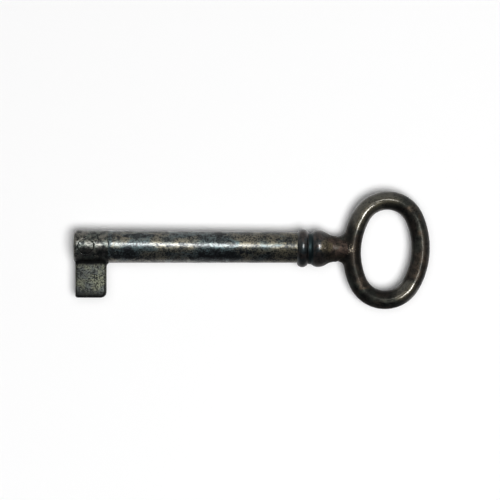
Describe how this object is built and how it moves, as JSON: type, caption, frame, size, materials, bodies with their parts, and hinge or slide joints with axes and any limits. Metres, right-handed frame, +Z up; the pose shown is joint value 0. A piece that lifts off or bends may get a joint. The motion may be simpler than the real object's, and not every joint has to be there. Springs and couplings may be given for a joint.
{
  "type": "furniture key",
  "caption": "Furniture key with a drilled tapered barrel, a plain rectangular bit on a pinned sleeve, a turned collar and neck, and an oval ring bow.",
  "frame": {"origin": "centre of the barrel's open mouth, on the barrel's axis", "axes": "+X along the barrel from the mouth towards the bow, the bit hangs towards -Y, +Z is up when the key lies on its side and runs through the thickness of bit and bow"},
  "size_m": [0.0723, 0.024, 0.0077],
  "materials": {
    "barrel_steel": "dark patinated steel, rubbed bright along the barrel, with blue-grey and brown mottling",
    "bit_iron": "matt grey-green cast surface, grainy, worn paler on its faces",
    "pin_steel": "filed flush, matt, dark line round its edge",
    "antique_brass": "near-black antique patina over brass, rubbed on crests, semi-gloss"
  },
  "bodies": {
    "root": {"barrel": "barrel_steel", "bit_head": "bit_iron", "head_pins": "pin_steel", "collar": "antique_brass", "neck": "antique_brass", "bow": "antique_brass"}
  },
  "joints": []
}
